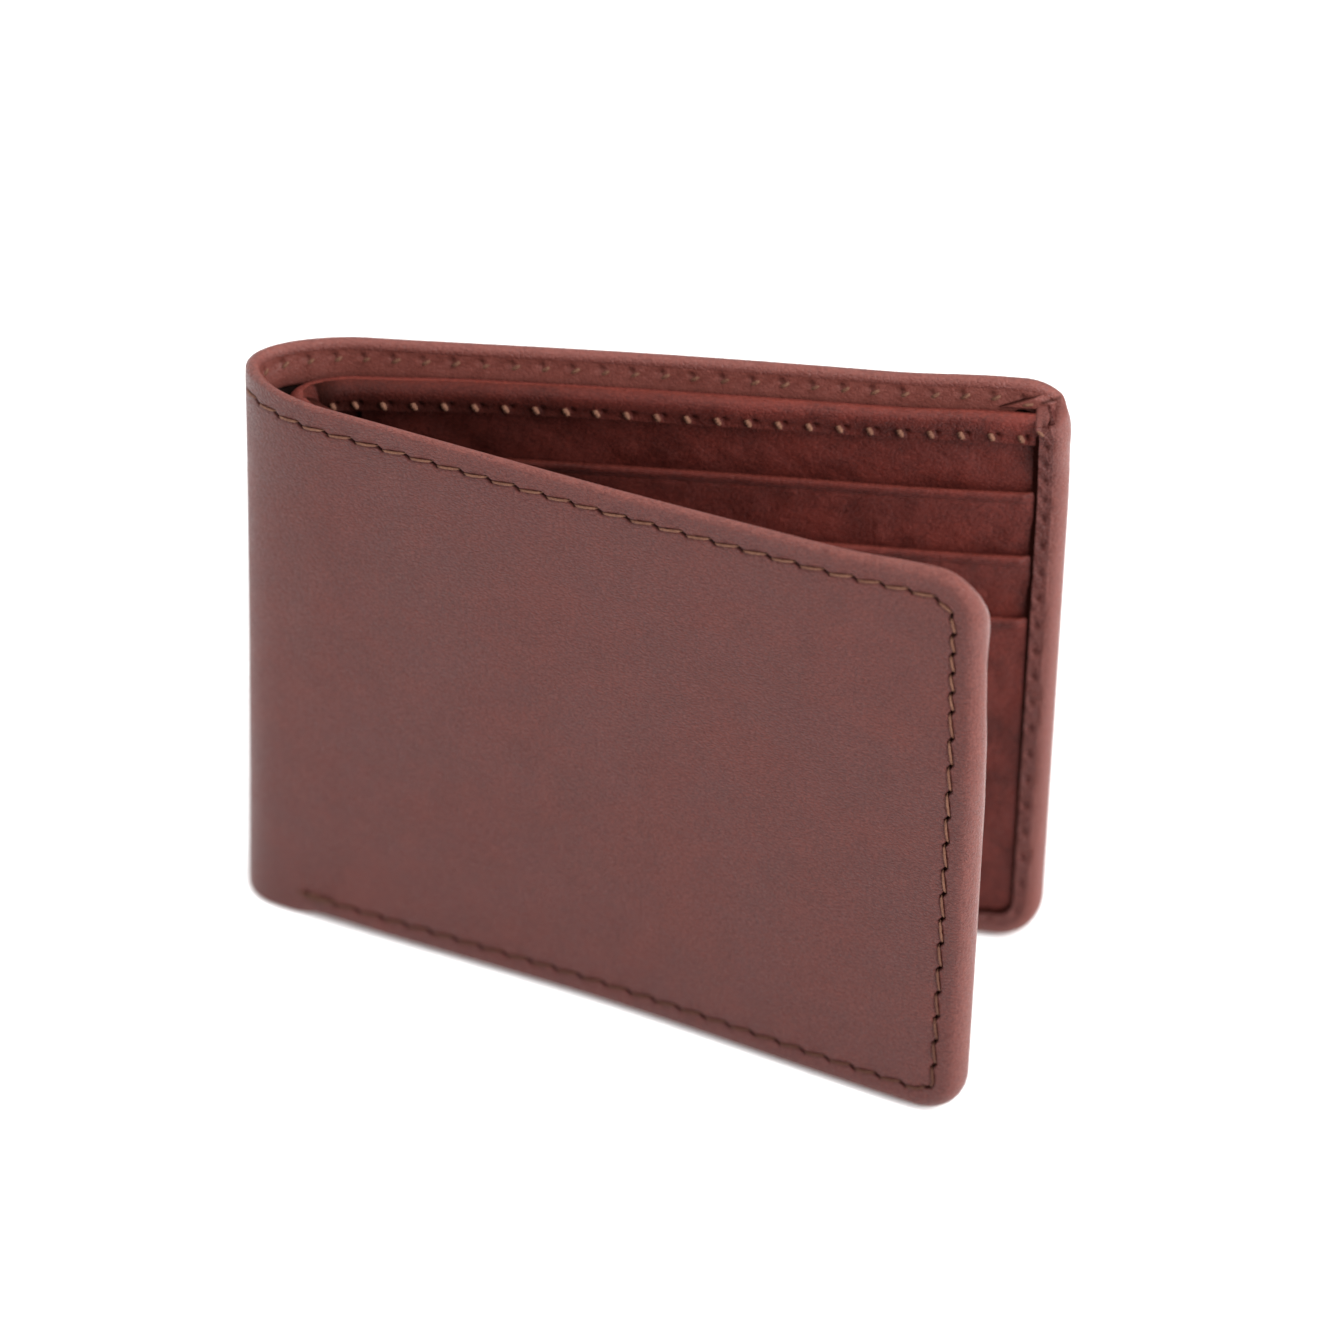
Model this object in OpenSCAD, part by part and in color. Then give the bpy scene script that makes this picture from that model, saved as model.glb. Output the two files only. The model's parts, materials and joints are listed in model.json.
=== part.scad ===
// Bifold wallet with turned edges, standing on its bottom edge and partly open.
// +Z is up. The back half lies along +X and faces +Y; the front half swings out towards -Y.
// The origin is the middle of the wallet's footprint, on the surface it stands on.

/* [Overall size] */
// Height of the wallet
height = 88; // [84:1:100]
// Length of each half, from the end of the spine's curve to the free edge
half_length = 103.8; // [95:0.1:115]
// Outer radius of the spine's curve
spine_radius = 8.9; // [8.7:0.1:10.5]
// Radius of the free corners
corner_radius = 8; // [7:0.5:10]
// Angle between the two halves as the wallet stands
rest_opening = 19.5; // [15:0.5:45]

/* [Leather and lining] */
// Thickness of the outer cover leather
cover_thickness = 1.1; // [0.9:0.05:1.2]
// Thickness of the stiffening board inside each half
board_thickness = 0.4; // [0.3:0.05:0.5]
// Thickness of the fabric lining of the bill compartment
lining_thickness = 0.3; // [0.2:0.05:0.4]
// Thickness of the skived leather that is turned over an edge
turn_thickness = 0.8; // [0.6:0.05:0.9]
// Thickness of the divider leather
divider_thickness = 0.7; // [0.6:0.05:0.8]
// Thickness of the panel that the card pockets are sewn to
panel_thickness = 0.6; // [0.5:0.05:0.7]
// Thickness of each card pocket's leather
pocket_thickness = 0.5; // [0.4:0.05:0.55]
// Thickness of the fabric slip under each of the upper two pockets
slip_thickness = 0.2; // [0.15:0.05:0.3]

/* [Edges and pockets] */
// Width of leather turned over at the side and bottom edges
turn_width = 5; // [4.8:0.1:5.5]
// Width of leather turned over along the top edge and around the spine
hem_width = 8; // [7:0.5:9]
// Free gap between the top hem and the divider, where banknotes go in
mouth_gap = 0.75; // [0.5:0.05:0.9]
// Drop from the cover's top edge to the divider's top edge
divider_drop = 4.4; // [4:0.1:6]
// Width of divider leather turned over along its top edge
divider_turn = 4; // [3.5:0.1:5]
// Drop from the divider's top edge to the first card slot
first_slot_drop = 11.6; // [10:0.1:13]
// Distance from one card slot to the next
slot_pitch = 10.3; // [9:0.1:11]
// Height of leather on each of the upper two pockets
pocket_leather = 14; // [13:0.5:16]
// Distance of the pockets' inner end from the end of the spine's curve
pocket_start = 6.5; // [6:0.5:9]
// Distance from the end of the spine's curve to the start of the divider's fold
fold_start = 3.05; // [2.8:0.05:3.3]

/* [Stitching] */
// Distance of the stitch line from the cover's edges
seam_margin = 4; // [3.8:0.1:4.2]
// Distance of the divider's stitch line from its top edge
divider_seam = 2.4; // [2:0.1:2.8]
// Width of the thread
thread_width = 0.5; // [0.4:0.05:0.6]
// Where the bottom stitch line ends near the spine
bottom_seam_start = 2; // [1:0.5:6]

/* [Hinge lines] */
// Angle around the spine from its middle to each hinge line
hinge_arc = 40; // [36:1:44]
// Half of the angle cut away at each hinge line, so that the halves can close
hinge_relief = 5.2; // [5:0.1:6]

/* [Hidden] */
$fn = 96;

leather = [0.46, 0.29, 0.27];
pocket_leather_colour = [0.42, 0.22, 0.19];
fabric = [0.20, 0.13, 0.11];
board = [0.62, 0.55, 0.45];
thread = [0.50, 0.38, 0.26];

// Depths are measured inwards from the outer face of a half
board_depth = cover_thickness;
lining_depth = board_depth + board_thickness;
hem_depth = lining_depth + lining_thickness;
hem_back = hem_depth + turn_thickness;
divider_depth = hem_back + mouth_gap;
panel_depth = divider_depth + divider_thickness;
pocket_depth = panel_depth + panel_thickness;
turn_depth = pocket_depth + 3 * pocket_thickness;
edge_depth = turn_depth + turn_thickness;
divider_back_depth = pocket_depth + divider_thickness;

// Inner pieces stop this far inside the cover's edges
inner_inset = cover_thickness + 0.1;
divider_top = height - divider_drop;
groove_width = thread_width + 0.2;
groove_depth = 0.35;
thread_depth = 0.25;
thread_clearance = 0.02;
// Distance of the pockets' own stitch line from their inner end
pocket_seam = 2;
// Every cutting shape runs past the surface it cuts by this much
past = 1;

// Plan of the spine: its centre is the plan origin of the halves
middle_angle = 180 - rest_opening / 2;
hinge_gap = 0.05;
relief_length = 12;
// Rounded to a thousandth, so that the fold's curve meets the flat leather exactly
fold_y = -round(1000 * fold_start * tan(rest_opening / 2)) / 1000;
fold_radius = spine_radius - divider_depth - fold_y;
// The footprint's middle, which becomes the origin
front_reach = spine_radius * cos(rest_opening) + half_length * sin(rest_opening);
centre_x = (half_length - spine_radius) / 2;
centre_y = (spine_radius - front_reach) / 2;

function slot_height(n) = divider_top - first_slot_drop - n * slot_pitch;
function plan_point(angle, radius) = radius * [cos(angle), sin(angle)];

// ---- placing ----

module placed() translate([-centre_x, -centre_y, 0]) children();

// The front half is the back half's mirror image, swung open
module front_half() rotate([0, 0, -rest_opening]) mirror([0, 1, 0]) children();

// Extrudes an outline drawn as (distance from spine, height) between two depths
module layer(depth, thickness) {
    translate([0, spine_radius - depth, 0]) rotate([90, 0, 0])
        linear_extrude(thickness) children();
}

// ---- outlines of a half ----

module half_outline(inset = 0, start = 0) {
    r = corner_radius - inset;
    right = half_length - inset;
    translate([start, inset]) square([right - r - start, height - 2 * inset]);
    translate([right - r, inset + r]) square([r, height - 2 * inset - 2 * r]);
    for (z = [inset + r, height - inset - r]) translate([right - r, z]) circle(r);
}

// The part of the top edge that is straight, down to the middle of the half
module top_zone() {
    translate([-past, height / 2]) square([half_length - corner_radius + past, height]);
}

// A band of the given width along the side and bottom edges
module edge_band(width) {
    difference() {
        half_outline();
        half_outline(width, -past);
        top_zone();
    }
}

module top_band(width) {
    translate([0, height - width]) square([half_length - corner_radius, width]);
}

// The stitch line that runs round the top, the side and the bottom
module seam_band(width) {
    difference() {
        half_outline(seam_margin - width / 2);
        half_outline(seam_margin + width / 2, -past);
        translate([-past, 0]) square([bottom_seam_start + past, height / 2]);
    }
}

module seam_band_top(width) intersection() { seam_band(width); top_zone(); }
module seam_band_edge(width) difference() { seam_band(width); top_zone(); }

// Inner pieces: the outline inside the cover's edges, between two heights
module inner_outline(start, low, high) {
    intersection() {
        half_outline(inner_inset, start);
        translate([start, low]) square([half_length, high - low]);
    }
}

// ---- plan of the spine ----

module ring(centre, outer, thickness) {
    translate(centre) difference() { circle(outer); circle(outer - thickness); }
}

// Everything on the spine's side of a hinge line; side is 1 for the back, -1 for the front
module past_hinge(side, relief_side) {
    angle = middle_angle - side * hinge_arc;
    reach = relief_length * tan(hinge_relief) + hinge_gap;
    translate(plan_point(angle, spine_radius)) rotate(angle) scale([1, side])
        polygon([
            [3, relief_side * hinge_gap], [0, relief_side * hinge_gap],
            [-relief_length, relief_side * reach], [-relief_length, 20], [3, 20]
        ]);
}

// Keeps the stretch of a ring that belongs to the back half
module back_stretch(end_x) {
    difference() {
        intersection() {
            children();
            translate([end_x - 30, 0]) square([30, 30]);
        }
        past_hinge(1, -1);
    }
}

module spine_stretch() {
    intersection() {
        children();
        past_hinge(1, 1);
        past_hinge(-1, 1);
    }
}

module cover_ring(thickness, depth = 0) ring([0, 0], spine_radius - depth, thickness);
module fold_ring(thickness) ring([fold_start, fold_y], fold_radius, thickness);

module raised(low, high) translate([0, 0, low]) linear_extrude(high - low) children();

// ---- cover ----

// The sheet, its turned top and bottom hems and its stitch grooves, for one stretch of the spine
module cover_curve(stretch) {
    difference() {
        union() {
            raised(0, height) kept(stretch) cover_ring(cover_thickness);
            for (low = [0, height - cover_thickness])
                raised(low, low + cover_thickness) kept(stretch) cover_ring(hem_back);
            for (low = [0, height - hem_width])
                raised(low, low + hem_width) kept(stretch) cover_ring(turn_thickness, hem_depth);
        }
        seam_curve(groove_width, groove_depth, 0);
    }
}

// A ring along the spine's stitch line, on its outer and inner faces
module seam_curve(width, thickness, sunk) {
    raised(height - seam_margin - width / 2, height - seam_margin + width / 2) {
        cover_ring(thickness, sunk);
        cover_ring(thickness, hem_back - thickness - sunk);
    }
}

module kept(stretch) {
    if (stretch == "back") back_stretch(0) children();
    if (stretch == "spine") spine_stretch() children();
}

module cover_half() color(leather) {
    difference() {
        union() {
            layer(0, cover_thickness) half_outline();
            layer(0, hem_back) top_band(cover_thickness);
            layer(hem_depth, turn_thickness) top_band(hem_width);
            layer(0, edge_depth) edge_band(cover_thickness);
            layer(turn_depth, turn_thickness) edge_band(turn_width);
        }
        layer(-past, groove_depth + past) seam_band(groove_width);
        layer(hem_back - groove_depth, groove_depth + 0.1) seam_band_top(groove_width);
        layer(edge_depth - groove_depth, groove_depth + past) seam_band_edge(groove_width);
    }
    cover_curve("back");
}

module cover_spine() placed() color(leather) cover_curve("spine");

// ---- stiffener and bill lining ----

module stiffener_half() color(board)
    layer(board_depth, board_thickness) half_outline(inner_inset);

module lining_curve(stretch) {
    raised(inner_inset, height - inner_inset)
        kept(stretch) cover_ring(lining_thickness, lining_depth);
}

module bill_lining_half() color(fabric) {
    layer(lining_depth, lining_thickness) half_outline(inner_inset);
    lining_curve("back");
}

module bill_lining_spine() placed() color(fabric) lining_curve("spine");

// ---- divider ----

module divider_half() color(leather) {
    roll = divider_back_depth - divider_depth;
    difference() {
        union() {
            layer(divider_depth, divider_thickness) inner_outline(fold_start, inner_inset, divider_top);
            layer(divider_depth, roll)
                inner_outline(fold_start, divider_top - divider_thickness, divider_top);
            layer(pocket_depth, divider_thickness)
                inner_outline(fold_start, divider_top - divider_turn, divider_top);
        }
        divider_seam_band(groove_width, groove_depth, -past);
    }
    raised(inner_inset, divider_top) back_stretch(fold_start) fold_ring(divider_thickness);
    raised(divider_top - divider_turn, divider_top) back_stretch(fold_start) fold_ring(roll);
}

module divider_seam_band(width, thickness, sunk) {
    low = divider_top - divider_seam - width / 2;
    layer(divider_back_depth - thickness, thickness - sunk)
        translate([fold_start + 1, low]) square([half_length - turn_width - fold_start - 2, width]);
}

module divider_fold() placed() color(leather) {
    roll = divider_back_depth - divider_depth;
    raised(inner_inset, divider_top) spine_stretch() fold_ring(divider_thickness);
    raised(divider_top - divider_turn, divider_top) spine_stretch() fold_ring(roll);
}

// ---- card pockets ----

module pocket_panel_half() color(pocket_leather_colour)
    layer(panel_depth, panel_thickness)
        inner_outline(pocket_start, inner_inset, divider_top - divider_thickness - 0.05);

// Pocket n counts down from the top; low is where its leather ends
module card_pocket(n, low) color(pocket_leather_colour) {
    difference() {
        layer(pocket_depth + n * pocket_thickness, pocket_thickness)
            inner_outline(pocket_start, low, slot_height(n));
        pocket_seam_band(n, groove_width, 0.25, -past);
    }
}

// The pockets' own stitch line, on the part of pocket n that shows
module pocket_seam_band(n, width, thickness, sunk) {
    face = pocket_depth + (n + 1) * pocket_thickness;
    low = (n == 2) ? turn_width + past : slot_height(n + 1) + past;
    layer(face - thickness, thickness - sunk)
        translate([pocket_start + pocket_seam - width / 2, low])
            square([width, slot_height(n) - past - low]);
}

module pocket_slip(n) color(fabric)
    layer(pocket_depth + n * pocket_thickness, slip_thickness)
        inner_outline(pocket_start, inner_inset, slot_height(n) - pocket_leather);

// ---- threads ----

module seam_thread_half() color(thread) {
    layer(groove_depth - thread_depth - thread_clearance, thread_depth) seam_band(thread_width);
    layer(hem_back - groove_depth + thread_clearance, thread_depth) seam_band_top(thread_width);
    layer(edge_depth - groove_depth + thread_clearance, thread_depth) seam_band_edge(thread_width);
    seam_thread_curve("back");
}

module seam_thread_curve(stretch) {
    sunk = groove_depth - thread_depth - thread_clearance;
    raised(height - seam_margin - thread_width / 2, height - seam_margin + thread_width / 2)
        kept(stretch) {
            cover_ring(thread_depth, sunk);
            cover_ring(thread_depth, hem_back - thread_depth - sunk);
        }
}

module seam_thread_spine() placed() color(thread) seam_thread_curve("spine");

module divider_thread_half() color(thread)
    translate([0, groove_depth - thread_depth - thread_clearance, 0])
        divider_seam_band(thread_width, thread_depth, 0);

module pocket_thread_half() color(thread)
    for (n = [0:2]) pocket_seam_band(n, thread_width, 0.2, 0);

// ---- the two halves ----

module half_piece(name) {
    if (name == "cover") cover_half();
    if (name == "stiffener") stiffener_half();
    if (name == "bill_lining") bill_lining_half();
    if (name == "divider") divider_half();
    if (name == "pocket_panel") pocket_panel_half();
    if (name == "card_pocket_upper") card_pocket(0, slot_height(0) - pocket_leather);
    if (name == "card_pocket_middle") card_pocket(1, slot_height(1) - pocket_leather);
    if (name == "card_pocket_lower") card_pocket(2, inner_inset);
    if (name == "pocket_slip_upper") pocket_slip(0);
    if (name == "pocket_slip_middle") pocket_slip(1);
    if (name == "seam_thread") seam_thread_half();
    if (name == "divider_thread") divider_thread_half();
    if (name == "pocket_thread") pocket_thread_half();
}

module back(name) placed() half_piece(name);
module front(name) placed() front_half() half_piece(name);

back("cover");  // cover_back
back("stiffener");  // stiffener_back
back("bill_lining");  // bill_lining_back
back("divider");  // divider_back
back("pocket_panel");  // pocket_panel_back
back("card_pocket_upper");  // card_pocket_upper_back
back("card_pocket_middle");  // card_pocket_middle_back
back("card_pocket_lower");  // card_pocket_lower_back
back("pocket_slip_upper");  // pocket_slip_upper_back
back("pocket_slip_middle");  // pocket_slip_middle_back
back("seam_thread");  // seam_thread_back
back("divider_thread");  // divider_thread_back
back("pocket_thread");  // pocket_thread_back
cover_spine();
bill_lining_spine();
divider_fold();
seam_thread_spine();
front("cover");  // cover_front
front("stiffener");  // stiffener_front
front("bill_lining");  // bill_lining_front
front("divider");  // divider_front
front("pocket_panel");  // pocket_panel_front
front("card_pocket_upper");  // card_pocket_upper_front
front("card_pocket_middle");  // card_pocket_middle_front
front("card_pocket_lower");  // card_pocket_lower_front
front("pocket_slip_upper");  // pocket_slip_upper_front
front("pocket_slip_middle");  // pocket_slip_middle_front
front("seam_thread");  // seam_thread_front
front("divider_thread");  // divider_thread_front
front("pocket_thread");  // pocket_thread_front
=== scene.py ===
"""Looks of the bifold wallet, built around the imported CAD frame.

Lengths are in millimetres until a mesh is made. A half is described by s (distance from the end of the
spine's curve towards the free edge), z (height) and a depth d, measured inwards from the cover's outer face.
The front half is the back half's mirror image.
"""

import json
import math

import bmesh
import bpy
import numpy as np
from mathutils import Matrix, Vector

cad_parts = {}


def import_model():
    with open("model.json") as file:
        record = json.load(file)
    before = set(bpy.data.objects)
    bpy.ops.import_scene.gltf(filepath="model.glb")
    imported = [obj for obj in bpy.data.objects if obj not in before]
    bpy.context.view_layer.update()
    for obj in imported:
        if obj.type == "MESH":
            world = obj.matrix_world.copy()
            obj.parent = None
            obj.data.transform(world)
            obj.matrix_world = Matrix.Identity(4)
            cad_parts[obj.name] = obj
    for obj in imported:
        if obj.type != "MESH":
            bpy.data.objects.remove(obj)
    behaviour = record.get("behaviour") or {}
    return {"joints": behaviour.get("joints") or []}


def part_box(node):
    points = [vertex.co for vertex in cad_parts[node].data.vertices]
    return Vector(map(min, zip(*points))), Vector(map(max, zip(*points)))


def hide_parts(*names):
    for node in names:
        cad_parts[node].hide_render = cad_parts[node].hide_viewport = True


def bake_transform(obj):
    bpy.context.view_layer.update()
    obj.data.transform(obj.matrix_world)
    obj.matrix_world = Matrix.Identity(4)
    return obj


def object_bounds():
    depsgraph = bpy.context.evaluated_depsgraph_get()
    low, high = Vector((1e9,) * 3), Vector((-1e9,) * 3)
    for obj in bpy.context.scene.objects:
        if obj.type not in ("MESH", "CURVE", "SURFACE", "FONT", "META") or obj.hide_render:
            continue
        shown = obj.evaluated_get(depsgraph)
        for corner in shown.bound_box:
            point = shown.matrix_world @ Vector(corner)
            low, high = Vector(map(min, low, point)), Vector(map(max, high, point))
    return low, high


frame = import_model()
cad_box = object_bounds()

scene = bpy.context.scene
MM = 0.001
BACK, FRONT = "back", "front"
POCKETS = ("upper", "middle", "lower")
# What the layers stacked below add to the height of the divider's roll, and of each next slot
STACK_RISE = 0.45
# Half the width of the cord that stands for the seam in the CAD frame
CORD_R = 0.25

# ---- measures taken from the frame


def box_mm(node):
    low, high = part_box(node)
    return np.array(low) / MM, np.array(high) / MM


COVER_END, OUTER_Y, HEIGHT = box_mm("cover_back")[1]
START_X = box_mm("stiffener_back")[0][0]
LENGTH = COVER_END - START_X
SPINE_R = START_X - cad_box[0].x / MM
CENTRE = np.array([START_X, OUTER_Y - SPINE_R])
hinge_a, hinge_b = (np.array(j["pos_m"]) / MM for j in frame["joints"])
HALF_OPEN = math.atan2(hinge_a[0] - hinge_b[0], hinge_a[1] - hinge_b[1])
DIVIDER_TOP = box_mm("divider_back")[1][2]
DIVIDER_DEPTH = OUTER_Y - box_mm("divider_back")[1][1]
SLOTS = [box_mm(f"card_pocket_{label}_back")[1][2] + STACK_RISE * n for n, label in enumerate(POCKETS)]
POCKET_START = box_mm("card_pocket_lower_back")[0][0] - START_X
# Distance of the stitch line from the side and bottom edges
SEAM = HEIGHT - (box_mm("seam_thread_back")[1][2] - CORD_R)

# ---- leather sizes

# Radii of the cover's free corners
TOP_CORNER, LOW_CORNER = 7.2, 6.6
CORNER = max(TOP_CORNER, LOW_CORNER)
# Thickness of the cover, of the whole top hem and of the turned strip
COVER, HEM, TURN = 1.1, 2.2, 0.55
# Thickness of the divider, of its rolled mouth and of the panel
DIVIDER, DIVIDER_ROLL, PANEL = 0.8, 2.8, 0.5
# Thickness of a card pocket, of the lip along its slot and of a fabric slip
POCKET, LIP, SLIP = 0.6, 1.1, 0.2
# Widths of leather turned over along the top, down the side and at the divider's mouth
HEM_WIDTH, TURN_WIDTH, DIVIDER_TURN = 7.0, 5.0, 4.2
# Depths of the outer and inner face of the board and of the bill lining
BOARD_FACES, LINING_FACES = (1.13, 1.39), (1.42, 1.66)
# The inner pieces stop this far inside the cover's outline
INNER_INSET = 1.75
ROLL_TOP = DIVIDER_TOP + STACK_RISE
# Height of leather on each of the upper two pockets
POCKET_HEIGHT = 14

# ---- stitching

# Distance of the stitch line from the top edge
TOP_SEAM = 3.5
PITCH_TOP, PITCH_CORNER, PITCH_SIDE, PITCH_BOTTOM = 4.1, 2.95, 4.2, 3.85
# The corner's closer stitches run on this far down the side
CORNER_RUN = 13
# The outer seam stops here near the spine's foot, as an s value
SEAM_END = 0.4
DIVIDER_SEAM_Z = ROLL_TOP - 3.1
DIVIDER_PITCH = 4.15
# The pockets' inner ends are sewn down along this s value
POCKET_SEAM, POCKET_PITCH = POCKET_START + 2, 2.9
THREAD_R, LOOP_R = 0.18, 0.27


def smooth(x):
    x = np.clip(x, 0.0, 1.0)
    return x * x * (3 - 2 * x)


def mix(a, b, t):
    return a + (b - a) * t


def ripple(s, z, length, seed):
    """Gentle unevenness of about one unit, with the given wavelength."""
    rng = np.random.default_rng(seed)
    total = np.zeros(np.broadcast(s, z).shape)
    for _ in range(7):
        angle, phase, stretch = rng.uniform(0, 2 * math.pi, 2).tolist() + [rng.uniform(0.7, 1.5)]
        k = 2 * math.pi / (length * stretch)
        total = total + np.sin(k * (s * math.cos(angle) + z * math.sin(angle)) + phase)
    return total / 3


# ---- plan of the spine

BISECTOR = np.array([math.cos(HALF_OPEN), -math.sin(HALF_OPEN)])
ACROSS = np.array([math.sin(HALF_OPEN), math.cos(HALF_OPEN)])
# Length of a curve's handle as a share of its side, which makes a near-circular bend
CURVE_HANDLE = 0.5523


class Bend:
    """Plan curve of a layer's outer face, from the wallet's middle plane round to the flat part of a half."""

    def __init__(self, nose, start, depth):
        first = -nose * BISECTOR
        last = np.array([start, SPINE_R - depth])
        meet = first + ACROSS * (last[1] - first[1]) / ACROSS[1]
        a, b = mix(first, meet, CURVE_HANDLE), mix(last, meet, CURVE_HANDLE)
        t = np.linspace(0, 1, 600)[:, None]
        u = 1 - t
        self.points = u**3 * first + 3 * u * u * t * a + 3 * u * t * t * b + t**3 * last
        speed = 3 * u * u * (a - first) + 6 * u * t * (b - a) + 3 * t * t * (last - b)
        self.tangents = speed / np.linalg.norm(speed, axis=1)[:, None]
        steps = np.linalg.norm(np.diff(self.points, axis=0), axis=1)
        length = np.concatenate([[0], np.cumsum(steps)])
        self.s = start - length[-1] + length
        self.middle = self.s[0]
        self.base = depth

    def place(self, s, d):
        """Plan position of a point at depth d behind the layer's outer face."""
        s, d = np.broadcast_arrays(np.asarray(s, float), np.asarray(d, float))
        c = np.clip(s, self.s[0], self.s[-1])
        px, py = (np.interp(c, self.s, self.points[:, i]) for i in (0, 1))
        tx, ty = (np.interp(c, self.s, self.tangents[:, i]) for i in (0, 1))
        beyond = s - c
        return px + beyond * tx + ty * d, py + beyond * ty - tx * d


# The cover's bend reaches into the flat of each half; the divider folds tightly inside it
SHELL = Bend(nose=SPINE_R, start=7.5, depth=0)
FOLD = Bend(nose=2.7, start=7.0, depth=DIVIDER_DEPTH)

# How the leather has settled: distances by which it stands off true planes
FOOT_FULLNESS, FOOT_S = 2.1, 5.5
WAVE = 0.12
BACK_LEAN, BACK_HOLLOW = 7.0, 3.2
FRONT_CORNER_IN, FRONT_BOW, FRONT_SWELL = 1.1, 0.7, 1.3


def sag(side, s, z):
    """How far the leather of a half stands inwards of a true plane."""
    s = np.asarray(s, float)
    along = np.clip(s / LENGTH, 0, 1)
    up = np.clip(z / HEIGHT, 0, 1)
    round_foot = -FOOT_FULLNESS * np.exp(-(((s + FOOT_S) / FOOT_S) ** 2)) * (1 - up) ** 1.5
    settled = WAVE * smooth(s / 15) * ripple(s, z, 60, 3 if side == BACK else 4) + round_foot
    if side == BACK:
        return BACK_LEAN * along**1.2 * (1 - up) ** 2.2 - BACK_HOLLOW * along * (1 - along) * up + settled
    corner = FRONT_CORNER_IN * smooth((s - 78) / 20) * smooth((z - 55) / 30)
    bow = FRONT_BOW * 4 * along * (1 - along) * (1 - up) - FRONT_SWELL * smooth((s - 40) / 60) * (1 - up)
    return corner + bow + settled


# The cut of the leather is not quite square: shifts of each half's upper free corner
BACK_CORNER_OUT, BACK_WAIST, BACK_RISE = 0.4, 0.22, 0.6
FRONT_SHIFT, FRONT_RISE = 1.2, 0.45


def outline(side, s, z):
    """(s, z) after the small shifts of the cut."""
    if side == BACK:
        out = BACK_CORNER_OUT * np.exp(-(((z - 86.5) / 3) ** 2)) - BACK_WAIST * np.exp(-(((z - 80) / 6) ** 2))
        rise = BACK_RISE * smooth((s - (LENGTH - 25)) / 15) * smooth((z - 62) / 24)
        return s + out * smooth((s - (LENGTH - 14)) / 12), z + rise
    shift = FRONT_SHIFT * smooth((s - 80) / 24) * smooth((z - 56) / 28)
    rise = FRONT_RISE * smooth((s - 45) / 50) * smooth((z - 30) / 50)
    return s - shift, z + rise


def world(side, bend, s, d, z):
    """Position in the frame, in millimetres, of a point of a half."""
    s, d, z = np.broadcast_arrays(*(np.asarray(v, float) for v in (s, d, z)))
    d = d - bend.base + sag(side, s, z)
    s, z = outline(side, s, z)
    x, y = bend.place(s, d)
    if side == FRONT:
        turn = -2 * HALF_OPEN
        x, y = x * math.cos(turn) + y * math.sin(turn), x * math.sin(turn) - y * math.cos(turn)
    return np.stack([CENTRE[0] + x, CENTRE[1] + y, z], -1)


# ---- how thick the sewn layers are


def stack_back(s, z):
    """Depth of the divider's outer face: sewn tight at the edges, free at the mouth."""
    up = np.clip(z / HEIGHT, 0, 1)
    along = np.clip(s / LENGTH, 0, 1)
    sewn = 1.8 + up**2 * (0.55 + 0.35 * (1 - along**2))
    return mix(DIVIDER_DEPTH, sewn, smooth((s - 4) / 18))


def panel_face(s, z):
    """Depth of the panel's inner face, which the pockets lie on."""
    return stack_back(s, z) + DIVIDER + PANEL


def strip_bed(s, z):
    """Depth of the layers held under the turned-over strip, which bridges their steps softly."""
    d = panel_face(s, z)
    for top in SLOTS:
        d = d + POCKET * smooth((top + 6.5 - z) / 7.5)
    return d + (DIVIDER_ROLL - DIVIDER - PANEL) * smooth((z - ROLL_TOP + DIVIDER_TURN + 7) / 7)


# The turned strip's crease slants down towards the spine by this much in a millimetre
STRIP_SLANT = 0.2


def strip_crease(s, above):
    """Height at which the side's turn-over rises off the layers, so far above the divider's roll."""
    return ROLL_TOP + above + STRIP_SLANT * (s - LENGTH + TURN_WIDTH)


# The folded corner's end: its distance from the free edge at a height of FLAP_Z, and its slant
FLAP_REACH, FLAP_Z, FLAP_SLANT = 11.6, 83.2, 1.7


def flap_edge(z):
    """Where the folded corner of the side turn-over ends along the top hem."""
    return LENGTH - FLAP_REACH + (z - FLAP_Z) * FLAP_SLANT


def rim_depth(side, s, z):
    """Depth of the cover's inner face where it is turned over the edge."""
    sewn = strip_bed(s, z) + TURN
    low = mix(HEM, sewn, smooth((s - 0.5) / 6))
    beside = smooth((s - (LENGTH - TURN_WIDTH - 0.35)) / 0.3)
    if side == BACK:
        top, stack_end, slope = HEM, strip_crease(s, 1.1), 1.8
        crease = 0.3 * np.exp(-(((z - stack_end - 0.15) / 0.35) ** 2)) * beside
    else:
        thin = 1.3 + 1.0 * np.clip(s / LENGTH, 0, 1) + 0.9 * smooth((s - 84) / 12)
        top = mix(HEM, thin, smooth((s - SHELL.middle) / 10))
        stack_end, slope, crease = strip_crease(s, 2.6), 9.0, 0
    over = smooth((stack_end - z) / slope) * beside
    return np.where(z > HEIGHT / 2, mix(top, sewn, over) - crease, low)


# ---- path round the free edges


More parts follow.
